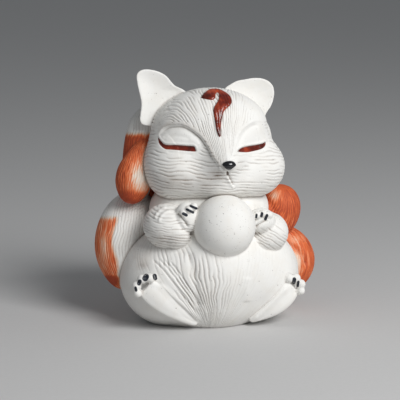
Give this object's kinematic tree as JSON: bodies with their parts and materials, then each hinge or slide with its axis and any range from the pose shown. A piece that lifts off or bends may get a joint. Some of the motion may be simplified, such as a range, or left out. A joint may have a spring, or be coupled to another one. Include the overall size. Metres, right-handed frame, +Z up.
{
  "type": "nine-tailed fox figurine",
  "caption": "Small seated fox in glazed and painted clay, eyes closed, holding a ball to its chest, with rounded tails fanned behind it and both soles turned to the front.",
  "frame": {"origin": "centre of the bounding box in plan, at the underside", "axes": "+Z up, -Y the way the fox faces, +X its left side"},
  "size_m": [0.0624, 0.0506, 0.0697],
  "materials": {
    "painted_clay": "matte white clay with warm brown wash in the grooves, brushed orange tail ends, and gloss on the nose and the forehead mark"
  },
  "bodies": {
    "root": {"nine_tailed_fox": "painted_clay"}
  },
  "joints": []
}
